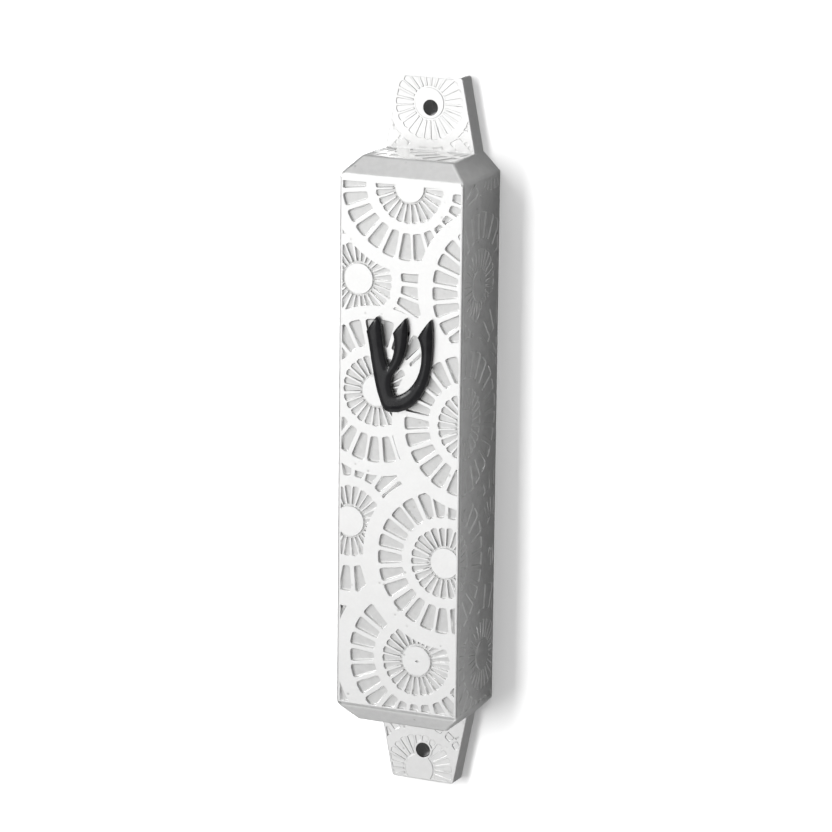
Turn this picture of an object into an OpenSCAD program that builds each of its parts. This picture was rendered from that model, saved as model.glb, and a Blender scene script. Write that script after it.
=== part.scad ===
/* [Case] */
// Width of the case across its front
case_w = 22; // [18:0.5:30]
// Depth of the case from the wall to its front face
case_d = 14.6; // [14:0.2:20]
// Height of the flat front face
front_h = 89.6; // [80:0.4:120]
// Thickness of the cast front wall
front_wall = 2.2; // [1.6:0.1:2.4]
// Thickness of each cast side wall
side_wall = 2.5; // [2.2:0.1:3]

/* [Sloped ends] */
// How far the two sides step in over a sloped end
slope_in_side = 3; // [2:0.5:4]
// How far the front steps back over a sloped end
slope_in_front = 2.3; // [1.5:0.1:3]
// Height of a sloped end
slope_h = 3; // [2:0.5:4]
// Radius of the two long front edges
edge_r = 0.4; // [0.2:0.1:0.8]

/* [Ears] */
// Thickness of the two screw ears
ear_t = 3.5; // [2.5:0.25:4.5]
// How far an ear stands out past the sloped end
ear_h = 12.2; // [11:0.2:16]
// Width of an ear at its tip
ear_tip_w = 11.2; // [9:0.2:13]
// Distance of each screw hole from the tip of its ear
hole_inset = 5.25; // [5:0.05:6]
// Diameter of the two screw holes
hole_d = 2.6; // [2:0.1:3.2]

/* [Letter] */
// Height that the letter stands off the front face
letter_t = 1.2; // [0.8:0.1:2]
// Height of the letter's centre above the middle of the case
letter_z = 14.2; // [0:0.2:18]
// Distance of the letter's centre to the right of the middle of the case
letter_x = 0.3; // [-2:0.1:2]

/* [Back cover] */
// Thickness of the back cover
cover_t = 0.8; // [0.6:0.1:0.8]
// Depth of the rebate that the cover drops into
rebate_depth = 1.05; // [1:0.05:1.2]
// Width of the ledge that the cover rests on
ledge = 0.9; // [0.6:0.1:1]
// Gap between the cover's edge and the rebate
cover_gap = 0.15; // [0.1:0.05:0.3]

/* [Scroll] */
// Length of the rolled parchment
scroll_l = 71; // [60:1:74]
// Diameter of the rolled parchment
scroll_d = 9.8; // [8:0.2:10]
// Diameter of the open core of the roll
core_d = 6.2; // [2:0.2:7]
// Wall of the protective sleeve around the scroll
sleeve_t = 0.25; // [0.2:0.05:0.3]
// How far the sleeve runs past each end of the scroll
sleeve_over = 1.5; // [1:0.5:2]

/* [Hidden] */

eps = 0.01;
round_steps = 6;

// Outline of the case: sloped ends above and below the flat front
front_top = front_h / 2;
end_z = front_top + slope_h;
tip_z = end_z + ear_h;
hole_z = tip_z - hole_inset;
end_half_w = case_w / 2 - slope_in_side;
ear_corner = 0.6;

// Chamber for the scroll, open at the back, with a rebate around its mouth
chamber_half_w = case_w / 2 - side_wall;
chamber_top = front_top - 1.4;
chamber_floor = case_d - front_wall;
chamber_r = 1;
rebate_half_w = chamber_half_w + ledge;
rebate_top = chamber_top + ledge;

// Thumb scoop at the lower end of the rebate, for lifting the cover out
scoop_r = 6;
scoop_depth = 1.8;
scoop_w = 9;

// Cover, with its lower edge over the scoop
cover_seat_gap = 0.05;
cover_half_w = rebate_half_w - cover_gap;
cover_top = rebate_top - cover_gap;
cover_corner = 0.5;
rib_t = 0.5;
rib_w = 0.9;
rib_half_l = 6;
rib_inset = 0.6;
rib_half_span = 36;

// Scroll, standing just clear of the chamber's lower end
sleeve_gap = 0.05;
rest_gap = 0.3;
sleeve_r = scroll_d / 2 + sleeve_gap + sleeve_t;
scroll_y = -(rebate_depth + chamber_floor) / 2;
sleeve_l = scroll_l + 2 * sleeve_over;
sleeve_z = rest_gap - chamber_top;

// The letter's outline about its own centre in the front face. Each row is a
// corner or a turning point, then the two control points of the curve that
// leads from it to the next row's point.
letter_curves = [
    // left arm: tip, left shoulder and the long outer side
    [[-4.3, 7.7], [-4.9, 6.9], [-5.6, 6.1]],
    [[-6, 5.2], [-5.4, 3.2], [-4.7, -3.4]],
    [[-3.5, -6], [-3.1, -7.3], [-2.6, -7.9]],
    // bowl and right arm, up its outer side to its tip
    [[-1.6, -7.9], [2.7, -8], [5.4, -3.6]],
    [[5.6, 2.6], [5.7, 4.8], [5.7, 6.8]],
    [[5.3, 8.1], [4.5, 7.2], [3.6, 6]],
    [[3.1, 5], [3.6, 4.2], [3.8, 3.2]],
    // inner side of the bowl
    [[3.8, 2], [3.9, -1.9], [1.5, -4.4]],
    [[-0.6, -5.1], [-1.1, -5.3], [-1.5, -4.4]],
    [[-1.6, -3.4], [-1.6, -2.6], [-1.5, -2]],
    // middle arm: up its right side, over its tip and down its left side
    [[-1.1, -1.4], [0.4, 0.2], [1.2, 2.8]],
    [[1.2, 4.8], [1.4, 6], [1.2, 7.2]],
    [[0.8, 7.9], [0.2, 7.2], [-0.8, 6.2]],
    [[-1.3, 5.3], [-0.7, 3.6], [-1.1, 0.8]],
    // inner side of the left arm
    [[-2.2, -0.4], [-3.1, 1.4], [-3.2, 4.6]],
    [[-3.6, 6.6], [-3.7, 7.2], [-4, 7.6]]
];
curve_steps = 8;

function on_curve(a, b, c, d, t) = pow(1 - t, 3) * a + 3 * t * pow(1 - t, 2) * b
    + 3 * t * t * (1 - t) * c + pow(t, 3) * d;
function letter_points() = [
    for (i = [0 : len(letter_curves) - 1], s = [0 : curve_steps - 1])
        let (row = letter_curves[i], next = letter_curves[(i + 1) % len(letter_curves)])
            on_curve(row[0], row[1], row[2], next[0], s / curve_steps)
];

// Cross-section of the case, its two front corners rounded
function case_section() = concat(
    [[-case_w / 2, 0]],
    [for (i = [0 : round_steps]) let (a = 180 + 90 * i / round_steps)
        [-case_w / 2 + edge_r + edge_r * cos(a), -case_d + edge_r + edge_r * sin(a)]],
    [for (i = [0 : round_steps]) let (a = 270 + 90 * i / round_steps)
        [case_w / 2 - edge_r + edge_r * cos(a), -case_d + edge_r + edge_r * sin(a)]],
    [[case_w / 2, 0]]
);

// Front view of the box between its ends: straight sides, sloped-in ends
module front_outline() {
    polygon([
        [-case_w / 2, -front_top], [-end_half_w, -end_z], [end_half_w, -end_z],
        [case_w / 2, -front_top], [case_w / 2, front_top], [end_half_w, end_z],
        [-end_half_w, end_z], [-case_w / 2, front_top]
    ]);
}

// Side view of the box: the front slopes back at both ends
module side_outline() {
    polygon([
        [0, -end_z], [-case_d + slope_in_front, -end_z], [-case_d, -front_top],
        [-case_d, front_top], [-case_d + slope_in_front, end_z], [0, end_z]
    ]);
}

// Front view of both ears, as one strip that tapers towards each tip
module ear_outline() {
    tip = ear_tip_w / 2;
    polygon([
        for (up = [1, -1]) for (p = [
            [-end_half_w, end_z], [-tip, tip_z - ear_corner], [-tip + ear_corner, tip_z],
            [tip - ear_corner, tip_z], [tip, tip_z - ear_corner], [end_half_w, end_z]
        ]) [up * p[0], up * p[1]]
    ]);
}

// A flat shape drawn in the front view, given a depth towards the front
module from_back(depth) {
    rotate([90, 0, 0]) linear_extrude(depth) children();
}

module rounded_slot(half_w, half_h, r) {
    union() {
        square([2 * (half_w - r), 2 * half_h], center = true);
        square([2 * half_w, 2 * (half_h - r)], center = true);
        for (x = [-1, 1], z = [-1, 1])
            translate([x * (half_w - r), z * (half_h - r)]) circle(r, $fn = 32);
    }
}

module case_solid() {
    intersection() {
        from_back(case_d) front_outline();
        rotate([90, 0, 90]) translate([0, 0, -case_w / 2])
            linear_extrude(case_w) side_outline();
        translate([0, 0, -end_z]) linear_extrude(2 * end_z) polygon(case_section());
    }
    from_back(ear_t) ear_outline();
}

// One-piece cast case with its two ears, hollow behind
module case_body() {
    color("silver") difference() {
        case_solid();
        translate([0, eps, 0]) from_back(chamber_floor + eps)
            rounded_slot(chamber_half_w, chamber_top, chamber_r);
        translate([0, eps, 0]) from_back(rebate_depth + eps)
            rounded_slot(rebate_half_w, rebate_top, cover_corner);
        translate([-scoop_w / 2, scoop_r - scoop_depth, -rebate_top]) rotate([0, 90, 0])
            cylinder(r = scoop_r, h = scoop_w, $fn = 96);
        for (z = [-hole_z, hole_z]) translate([0, eps, z]) rotate([90, 0, 0])
            cylinder(d = hole_d, h = ear_t + 2 * eps, $fn = 64);
    }
}

// Raised letter on the front: three headed arms that meet in a curved bowl
module shin_letter() {
    color("black") translate([letter_x, -case_d, letter_z]) from_back(letter_t) polygon(letter_points());
}

// Thin cover for the back, with friction ribs along both edges of its inner face
module back_cover() {
    seat = -rebate_depth + cover_seat_gap;
    color("gainsboro") union() {
        translate([0, seat + cover_t, 0]) from_back(cover_t)
            rounded_slot(cover_half_w, cover_top, cover_corner);
        for (x = [-1, 1], z = [-1, 0, 1])
            translate([x * (chamber_half_w - rib_inset - rib_w / 2), seat, z * rib_half_span])
                from_back(rib_t) square([rib_w, 2 * rib_half_l], center = true);
    }
}

// Blank parchment, rolled up around an open core
module parchment_scroll() {
    color("wheat") translate([0, scroll_y, sleeve_z + sleeve_over]) difference() {
        cylinder(d = scroll_d, h = scroll_l, $fn = 96);
        translate([0, 0, -eps]) cylinder(d = core_d, h = scroll_l + 2 * eps, $fn = 48);
    }
}

// Clear protective sleeve that runs a little past both ends of the scroll
module scroll_sleeve() {
    color("lightcyan") translate([0, scroll_y, sleeve_z]) difference() {
        cylinder(r = sleeve_r, h = sleeve_l, $fn = 96);
        translate([0, 0, -eps])
            cylinder(r = sleeve_r - sleeve_t, h = sleeve_l + 2 * eps, $fn = 96);
    }
}

case_body();
shin_letter();
back_cover();
parchment_scroll();
scroll_sleeve();
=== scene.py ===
# %% [markdown]
# # A mezuzah case: cast metal, an enamelled letter and a rolled parchment
#
# The case is one casting: a long box with sloped ends, an ear with a screw hole at each end, and a relief
# of overlapping wheels. A glossy black letter stands on its front. The back is open and closed by a thin
# cover, and the rolled parchment lies inside in a clear sleeve.
#
# The first cell loads the frame that every piece is built around, and keeps its outer box.

import math
import random

import bmesh
import bpy
from mathutils import Matrix, Vector
from mathutils.geometry import delaunay_2d_cdt


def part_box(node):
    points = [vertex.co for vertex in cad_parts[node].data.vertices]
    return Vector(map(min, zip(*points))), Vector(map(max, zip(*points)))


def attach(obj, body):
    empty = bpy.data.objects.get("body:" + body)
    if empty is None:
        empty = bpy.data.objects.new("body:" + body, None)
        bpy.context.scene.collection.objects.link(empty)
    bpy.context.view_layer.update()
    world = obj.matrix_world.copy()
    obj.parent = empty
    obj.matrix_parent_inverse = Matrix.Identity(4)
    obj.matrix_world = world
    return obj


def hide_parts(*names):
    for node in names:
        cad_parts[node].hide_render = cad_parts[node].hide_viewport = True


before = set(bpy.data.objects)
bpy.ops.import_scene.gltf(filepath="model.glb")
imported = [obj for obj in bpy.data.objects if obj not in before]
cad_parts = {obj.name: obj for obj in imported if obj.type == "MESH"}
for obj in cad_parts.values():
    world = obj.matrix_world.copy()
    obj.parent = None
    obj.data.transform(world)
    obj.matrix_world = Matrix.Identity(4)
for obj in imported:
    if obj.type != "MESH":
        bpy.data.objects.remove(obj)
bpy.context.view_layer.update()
print("nodes:", sorted(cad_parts))

# %% [markdown]
# ## Sizes
#
# Every shape below is drawn in millimetres, because that is how a caster thinks, and is made metres in
# one place, when the mesh is handed over. The outer sizes come from the frame. The few that the frame
# doesn't give, such as the height of a sloped end, are named here.

# %% Main sizes in millimetres
MM = 0.001


def node_box(node):
    """Lowest and highest corner of a node of the frame, in millimetres."""
    low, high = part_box(node)
    return low / MM, high / MM


case_low, case_high = node_box("case_body")
half_w = case_high.x
depth = -case_low.y
tip_z = case_high.z
slope_h = 3
slope_in_side = 3
slope_in_front = 2.3
ear_h = 12.2
ear_t = 3.5
ear_tip_half = 5.6
end_z = tip_z - ear_h
face_top = end_z - slope_h
end_half_w = half_w - slope_in_side
end_depth = depth - slope_in_front
hole_inset = 5.25
hole_z = tip_z - hole_inset
hole_r = 1.3
print(f"case {2 * half_w:.1f} wide, {depth:.1f} deep, {2 * tip_z:.1f} high, face {2 * face_top:.1f}")

# %% [markdown]
# ## Camera
#
# A product picture of a tall, slim object is taken from far away with a long lens, so that its edges stay
# nearly parallel. The camera stands to the right of the case and a little above it. It is turned by
# pointing its own -Z axis along the view, and then leaned by a fraction of a degree, as a hand-held
# camera is.

# %% Camera
camera_azimuth = math.radians(24.05)
camera_elevation = math.radians(13.79)
camera_roll = math.radians(0.64)
camera_distance = 0.687
aim_shift = (-0.0032, 0.0024)

back = Vector(
    (
        math.sin(camera_azimuth) * math.cos(camera_elevation),
        -math.cos(camera_azimuth) * math.cos(camera_elevation),
        math.sin(camera_elevation),
    )
)
level_right = (-back).cross(Vector((0, 0, 1))).normalized()
level_up = level_right.cross(-back)
right = math.cos(camera_roll) * level_right + math.sin(camera_roll) * level_up
up = math.cos(camera_roll) * level_up - math.sin(camera_roll) * level_right
aim = aim_shift[0] * right + aim_shift[1] * up

camera_data = bpy.data.cameras.new("camera")
camera_data.lens = 178.9
camera_data.sensor_width = 36
camera_data.clip_start = 0.05
camera = bpy.data.objects.new("camera", camera_data)
turn = Matrix((right, up, back)).transposed().to_4x4()
camera.matrix_world = Matrix.Translation(aim + back * camera_distance) @ turn
bpy.context.scene.collection.objects.link(camera)
bpy.context.scene.camera = camera
print("camera at", [round(v, 3) for v in camera.location])

# %% [markdown]
# ## Helpers for every piece
#
# A piece is shaped as a bmesh, which is Blender's mesh for editing. `hand_over` makes it metres, turns it
# into an object, and ties it to the body that it moves with. The object itself stays at the origin, so
# its place is in its mesh and a pattern in its material can't slide.


# %% Hand a finished piece over
def make_object(name, bm):
    """A mesh object from a bmesh in millimetres."""
    bmesh.ops.scale(bm, vec=(MM, MM, MM), verts=bm.verts)
    mesh = bpy.data.meshes.new(name)
    bm.to_mesh(mesh)
    bm.free()
    piece = bpy.data.objects.new(name, mesh)
    bpy.context.scene.collection.objects.link(piece)
    return piece


def hand_over(name, bm, material, body, node):
    """Makes a bmesh a finished piece that stands for a node of the frame and rides on a body."""
    piece = make_object(name, bm)
    piece.data.materials.append(material)
    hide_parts(node)
    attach(piece, body)
    triangles = sum(len(face.vertices) - 2 for face in piece.data.polygons)
    print(f"{name}: {len(piece.data.vertices)} points, {triangles} triangles")


# %% Small mesh helpers
def faces_at(bm, axis, place, slack=0.01):
    """The faces that lie flat across an axis at one place, in millimetres."""
    direction = Vector((0, 0, 0))
    direction[axis] = 1
    return [
        face
        for face in bm.faces
        if abs(face.calc_center_median()[axis] - place) < slack
        and abs(face.normal.dot(direction)) > 0.999
    ]


def bevel(bm, edges, width, segments):
    """Rounds edges with the same settings everywhere."""
    bmesh.ops.bevel(
        bm,
        geom=edges,
        offset=width,
        offset_type="OFFSET",
        affect="EDGES",
        segments=segments,
        profile=0.5,
        material=-1,
        clamp_overlap=False,
    )


def box_mesh(low, high):
    """A bmesh box between two corners."""
    low, high = Vector(low), Vector(high)
    bm = bmesh.new()
    bmesh.ops.create_cube(bm, size=1)
    bmesh.ops.scale(bm, vec=high - low, verts=bm.verts)
    bmesh.ops.translate(bm, vec=(low + high) / 2, verts=bm.verts)
    return bm


def along(edge, axis):
    """How closely an edge follows an axis, from 0 to 1."""
    way = edge.verts[1].co - edge.verts[0].co
    return abs(way[axis]) / max(way.length, 1e-9)


def open_edges(bm):
    """How many edges don't lie between exactly two faces; a closed mesh has none."""
    return sum(not edge.is_manifold for edge in bm.edges)


# %% [markdown]
# ## Finishes: shared effects first
#
# A cast surface, a moulded one and a parchment all have a fine grain, only at different sizes. So the
# grain is one node group, placed in each material with its own values. It mixes a coarse and a fine noise
# into one height for a Bump node, and gives the coarse noise as a mask for colour. A second group, speckle,
# gives small separate pits or dust spots.


# %% Node helpers
def link(tree, source, target):
    tree.links.new(source, target)


def add_node(tree, kind, **settings):
    node = tree.nodes.new(kind)
    for name, value in settings.items():
        setattr(node, name, value)
    return node


def new_group(name, inputs, outputs):
    """A shader node group with float inputs (name, default) and float outputs."""
    group = bpy.data.node_groups.new(name, "ShaderNodeTree")
    group.interface.new_socket("Position", in_out="INPUT", socket_type="NodeSocketVector")
    for label, value in inputs:
        socket = group.interface.new_socket(label, in_out="INPUT", socket_type="NodeSocketFloat")
        socket.default_value = value
    for label in outputs:
        group.interface.new_socket(label, in_out="OUTPUT", socket_type="NodeSocketFloat")
    return group, group.nodes.new("NodeGroupInput"), group.nodes.new("NodeGroupOutput")


def noise(tree, position, scale, detail=2.0):
    """A noise texture on a position socket; scale may be a number or a socket."""
    node = add_node(tree, "ShaderNodeTexNoise")
    node.inputs["Detail"].default_value = detail
    link(tree, position, node.inputs["Vector"])
    if isinstance(scale, (int, float)):
        node.inputs["Scale"].default_value = scale
    else:
        link(tree, scale, node.inputs["Scale"])
    return node.outputs["Fac"]


def math_node(tree, operation, first, second=0.0, clamp=False):
    node = add_node(tree, "ShaderNodeMath", operation=operation, use_clamp=clamp)
    for socket, value in zip(node.inputs, (first, second)):
        if isinstance(value, (int, float)):
            socket.default_value = value
        else:
            link(tree, value, socket)
    return node.outputs[0]


def ramp(tree, value, low, high, at_low=0.0, at_high=1.0):
    """A soft step: the value between low and high is mapped to at_low to at_high."""
    node = add_node(tree, "ShaderNodeMapRange", interpolation_type="SMOOTHSTEP")
    link(tree, value, node.inputs["Value"])
    node.inputs["From Min"].default_value = low
    node.inputs["From Max"].default_value = high
    node.inputs["To Min"].default_value = at_low
    node.inputs["To Max"].default_value = at_high
    return node.outputs["Result"]


def mix_colour(tree, factor, first, second):
    """Two colours mixed by a mask; each may be a tuple or a socket."""
    node = add_node(tree, "ShaderNodeMix", data_type="RGBA")
    link(tree, factor, node.inputs["Factor"])
    for socket, value in zip((node.inputs[6], node.inputs[7]), (first, second)):
        if isinstance(value, tuple):
            socket.default_value = (*value, 1)
        else:
            link(tree, value, socket)
    return node.outputs[2]


# %% The grain group
grain, grain_in, grain_out = new_group(
    "grain", [("Coarse Scale", 900.0), ("Fine Scale", 5000.0), ("Fine Share", 0.5)], ["Height", "Mottle"]
)
coarse = noise(grain, grain_in.outputs["Position"], grain_in.outputs["Coarse Scale"], 3.0)
fine = noise(grain, grain_in.outputs["Position"], grain_in.outputs["Fine Scale"], 2.0)
fine_part = math_node(grain, "MULTIPLY", fine, grain_in.outputs["Fine Share"])
link(grain, math_node(grain, "ADD", coarse, fine_part), grain_out.inputs["Height"])
link(grain, ramp(grain, coarse, 0.35, 0.65), grain_out.inputs["Mottle"])

# %% The speckle group
speckle, speckle_in, speckle_out = new_group("speckle", [("Scale", 700.0), ("Size", 0.18)], ["Spots"])
cells = add_node(speckle, "ShaderNodeTexVoronoi", feature="F1")
link(speckle, speckle_in.outputs["Position"], cells.inputs["Vector"])
link(speckle, speckle_in.outputs["Scale"], cells.inputs["Scale"])
small = math_node(speckle, "SUBTRACT", speckle_in.outputs["Size"], cells.outputs["Distance"])
sharp = math_node(speckle, "MULTIPLY", small, 12.0, clamp=True)
rare = ramp(speckle, noise(speckle, speckle_in.outputs["Position"], 160.0), 0.52, 0.60)
link(speckle, math_node(speckle, "MULTIPLY", sharp, rare), speckle_out.inputs["Spots"])
print("node groups:", [group.name for group in (grain, speckle)])


# %% Start a material
def new_material(name):
    """A material with a Principled shader and a socket that gives the place on the piece."""
    material = bpy.data.materials.new(name)
    material.use_nodes = True
    tree = material.node_tree
    shader = tree.nodes["Principled BSDF"]
    place = add_node(tree, "ShaderNodeTexCoord").outputs["Object"]
    return material, tree, shader, place


def use_group(tree, group, position, **values):
    node = add_node(tree, "ShaderNodeGroup", node_tree=group)
    link(tree, position, node.inputs["Position"])
    for label, value in values.items():
        node.inputs[label.replace("_", " ")].default_value = value
    return node


def add_bump(tree, shader, height, distance, strength=1.0):
    bump = add_node(tree, "ShaderNodeBump")
    bump.inputs["Strength"].default_value = strength
    bump.inputs["Distance"].default_value = distance
    link(tree, height, bump.inputs["Height"])
    link(tree, bump.outputs["Normal"], shader.inputs["Normal"])


# %% [markdown]
# ## The cast metal
#
# The casting is a pale alloy with a satin silver finish. Three things make such a finish read as real: the
# raised lands are the brightest and smoothest because they are rubbed in finishing, the pocket floors keep
# the sandy skin of the mould and are painted a little grey, partly for that skin and partly as painted shade
# in the recesses, and a slow waviness bends the reflections. The first two need to know how deep a point lies
# in the relief. The mesh carries that as a value on its points, called carved, which runs from 0 on the lands
# to 1 on the deepest floors. A second value, bore, is kept on faces. It marks the walls of the screw holes,
# which are painted dark grey: painted shade inside the holes.

# %% Cast metal
cast_metal, tree, shader, place = new_material("cast_metal")
carved = add_node(tree, "ShaderNodeAttribute", attribute_name="carved").outputs["Fac"]
bore = add_node(tree, "ShaderNodeAttribute", attribute_name="bore").outputs["Fac"]
skin = use_group(tree, grain, place, Coarse_Scale=900.0, Fine_Scale=4200.0, Fine_Share=0.55)
pits = use_group(tree, speckle, place, Scale=520.0, Size=0.16)
waviness = noise(tree, place, 130.0, 1.0)

# Pocket floors are painted greyer the deeper they lie: partly the rougher cast skin, partly painted shade in
# the recesses.
deep = ramp(tree, carved, 0.15, 0.9)
land_colour = mix_colour(tree, skin.outputs["Mottle"], (0.90, 0.90, 0.895), (0.94, 0.94, 0.935))
shaded_floor_colour = mix_colour(tree, skin.outputs["Mottle"], (0.77, 0.77, 0.765), (0.84, 0.84, 0.835))
metal_colour = mix_colour(tree, deep, land_colour, shaded_floor_colour)
metal_colour = mix_colour(tree, pits.outputs["Spots"], metal_colour, (0.72, 0.72, 0.71))
# The walls of the screw holes are painted dark grey: painted shade inside the holes.
metal_colour = mix_colour(tree, bore, metal_colour, (0.25, 0.25, 0.25))
link(tree, metal_colour, shader.inputs["Base Color"])

satin = ramp(tree, skin.outputs["Mottle"], 0, 1, 0.36, 0.42)
link(tree, math_node(tree, "ADD", satin, math_node(tree, "MULTIPLY", deep, 0.14)), shader.inputs["Roughness"])
shader.inputs["Metallic"].default_value = 1.0

sandy = math_node(tree, "MULTIPLY", skin.outputs["Height"], ramp(tree, carved, 0.1, 0.9, 0.35, 1.0))
slow = math_node(tree, "MULTIPLY", waviness, 2.2)
pitted = math_node(tree, "MULTIPLY", pits.outputs["Spots"], -0.8)
relief_height = math_node(tree, "ADD", math_node(tree, "ADD", sandy, slow), pitted)
add_bump(tree, shader, relief_height, 0.00002)
print("cast metal:", len(tree.nodes), "nodes")

# %% [markdown]
# ## The box with its sloped ends and ears
#
# The outside of the casting is simple, so it starts as a cube. Each end is raised and narrowed, which gives
# the sloped hips. The end face is then cut into a front part and a strip along the wall, and the strip is
# raised again into the ear. The edges are bevelled last: widest round the front of the box, and less round
# the ears and along the wall.


# %% Outside of the casting
def outer_casting():
    bm = box_mesh((-half_w, -depth, -face_top), (half_w, 0, face_top))
    for side in (1, -1):
        end = faces_at(bm, 2, side * face_top)[0]
        slope = bmesh.ops.extrude_discrete_faces(bm, faces=[end])["faces"][0]
        bmesh.ops.translate(bm, vec=(0, 0, side * slope_h), verts=slope.verts)
        bmesh.ops.scale(bm, vec=(end_half_w / half_w, end_depth / depth, 1), verts=slope.verts)
        parts = [slope, *slope.edges, *slope.verts]
        bmesh.ops.bisect_plane(bm, geom=parts, plane_co=(0, -ear_t, 0), plane_no=(0, 1, 0))
        strips = faces_at(bm, 2, side * end_z)
        strip = max(strips, key=lambda face: face.calc_center_median().y)
        ear = bmesh.ops.extrude_discrete_faces(bm, faces=[strip])["faces"][0]
        bmesh.ops.translate(bm, vec=(0, 0, side * ear_h), verts=ear.verts)
        bmesh.ops.scale(bm, vec=(ear_tip_half / end_half_w, 1, 1), verts=ear.verts)
    bmesh.ops.recalc_face_normals(bm, faces=bm.faces)
    return bm


def is_sharp(edge):
    """Whether an edge stands out and turns by more than about 30 degrees."""
    return edge.is_convex and edge.calc_face_angle() > 0.5


def foremost(edge):
    """The Y of an edge's end that is nearer to the front."""
    return min(vert.co.y for vert in edge.verts)


def is_ear_edge(edge):
    """Whether a sharp edge runs round the front of an ear."""
    beyond_box = abs(edge.verts[0].co.z) > face_top
    return beyond_box and -ear_t - 0.1 < foremost(edge) < -1 and is_sharp(edge)


ear_corner = 0.5
wall_rounding = 0.12
ear_rounding = 0.16
front_rounding = 0.45

casting = outer_casting()
bmesh.ops.dissolve_limit(casting, angle_limit=0.001, verts=casting.verts, edges=casting.edges)
tip_corners = [e for e in casting.edges if abs(e.verts[0].co.z) > tip_z - 0.1 and along(e, 1) > 0.99]
bevel(casting, tip_corners, ear_corner, 4)
wall_edges = [e for e in casting.edges if max(abs(v.co.y) for v in e.verts) < 0.001]
bevel(casting, wall_edges, wall_rounding, 2)
bevel(casting, [e for e in casting.edges if is_ear_edge(e)], ear_rounding, 3)
box_edges = [e for e in casting.edges if is_sharp(e) and foremost(e) < -ear_t - 0.2]
bevel(casting, box_edges, front_rounding, 4)
print("outside of the casting:", len(casting.faces), "faces")

# %% [markdown]
# ## Hollowing the casting
#
# The back is open: a shallow rebate takes the cover, and a deeper chamber takes the scroll. A scoop at the
# lower end lets a thumb under the cover, and each ear has a screw hole. Cutting these out by hand would
# leave many awkward joins, so each hollow is made as a solid tool, and Boolean modifiers take them all
# away from the casting. The mesh is simple at this point, so the cut is quick and clean.


# %% Tools that hollow the casting
def rounded_tool(half_x, half_z, floor, corner, fillet):
    """A box open to the back, with round corners and a rounded floor edge."""
    bm = box_mesh((-half_x, -floor, -half_z), (half_x, 1, half_z))
    bevel(bm, [e for e in bm.edges if along(e, 1) > 0.99], corner, 6)
    if fillet:
        bevel(bm, list(faces_at(bm, 1, -floor)[0].edges), fillet, 4)
    return bm


def hole_tool(z):
    """A round bar along Y with a small flare where it leaves the front of an ear."""
    bm = bmesh.new()
    flare = 0.04
    profile = [(0, 1), (hole_r, 1), (hole_r, -ear_t + flare), (hole_r + flare / 3, -ear_t + flare / 3)]
    profile += [(hole_r + flare, -ear_t), (hole_r + flare, -ear_t - 1), (0, -ear_t - 1)]
    points = [bm.verts.new((x, y, 0)) for x, y in profile]
    edges = [bm.edges.new(pair) for pair in zip(points, points[1:])]
    bmesh.ops.spin(
        bm,
        geom=points + edges,
        cent=(0, 0, 0),
        axis=(0, 1, 0),
        angle=math.tau,
        steps=48,
        use_merge=True,
    )
    bmesh.ops.remove_doubles(bm, verts=bm.verts, dist=0.0001)
    bmesh.ops.recalc_face_normals(bm, faces=bm.faces)
    bmesh.ops.translate(bm, vec=(0, 0, z), verts=bm.verts)
    return bm


def scoop_tool():
    """A lying cylinder that dips into the casting just below the cover."""
    bm = bmesh.new()
    bmesh.ops.create_cone(
        bm, cap_ends=True, segments=96, radius1=scoop_r, radius2=scoop_r, depth=scoop_w
    )
    bmesh.ops.rotate(bm, cent=(0, 0, 0), matrix=Matrix.Rotation(math.pi / 2, 3, "Y"), verts=bm.verts)
    bevel(bm, [e for e in bm.edges if e.calc_face_angle() > 1], 0.4, 3)
    bmesh.ops.translate(bm, vec=(0, scoop_r - scoop_depth, -rebate_half_z), verts=bm.verts)
    return bm


rebate_half_x, rebate_half_z, rebate_floor = 9.4, 44.3, 1.05
chamber_half_x, chamber_half_z, chamber_floor = 8.5, 43.4, 12.4
scoop_r, scoop_w, scoop_depth = 6, 9, 1.8
tools = [
    rounded_tool(rebate_half_x, rebate_half_z, rebate_floor, corner=0.5, fillet=0),
    rounded_tool(chamber_half_x, chamber_half_z, chamber_floor, corner=1, fillet=0.6),
    scoop_tool(),
    hole_tool(hole_z),
    hole_tool(-hole_z),
]


# %% Cut the hollows
def combine(bm, tools, operation):
    """The bmesh with every tool taken away from it, or joined to it."""
    solid = make_object("solid", bm)
    helpers = []
    for number, tool in enumerate(tools):
        helper = make_object(f"tool_{number}", tool)
        modifier = solid.modifiers.new(helper.name, "BOOLEAN")
        modifier.operation = operation
        modifier.solver = "EXACT"
        modifier.object = helper
        helpers.append(helper)
    graph = bpy.context.evaluated_depsgraph_get()
    result = bmesh.new()
    result.from_mesh(solid.evaluated_get(graph).to_mesh())
    for used in (solid, *helpers):
        bpy.data.objects.remove(used)
    bmesh.ops.scale(result, vec=(1 / MM, 1 / MM, 1 / MM), verts=result.verts)
    return result


casting = combine(casting, tools, "DIFFERENCE")
for face in casting.faces:
    face.smooth = False
print("hollowed casting:", len(casting.faces), "faces, open edges:", open_edges(casting))

# %% [markdown]
# ## The wheels of the relief
#
# The relief is made of wheels that lie over each other like coins. Each has a flat hub, a ring of narrow
# pockets with thin ribs between them, a plain ring, a ring of wide pockets, and a plain rim. A wheel hides
# what lies under it. The pockets look cut by hand, so their sizes wander a little, with a seeded random so
# that every run gives the same casting.
#
# The pattern is drawn on one sheet that is folded round the case: across the front the sheet's first
# direction is X, and past the front edges it runs on along the sides.

# %% Sizes of a wheel
hub_r = 2.5
trench_r = 2.95
narrow_out = 6.1
wide_in = 7.6
wide_out = 12.1
rim_r = 14.2
pockets_per_turn = 25
pitch = math.tau / pockets_per_turn
narrow_rib = 0.15
narrow_corner = 0.3
narrow_blunt = 0.1
wide_rib = 0.3
wide_corner_out = 0.6
wide_corner_in = 0.4
wander = random.Random(7)
print(f"wheel: {pockets_per_turn} pockets in each ring, {math.degrees(pitch):.1f} degrees apart")


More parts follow.
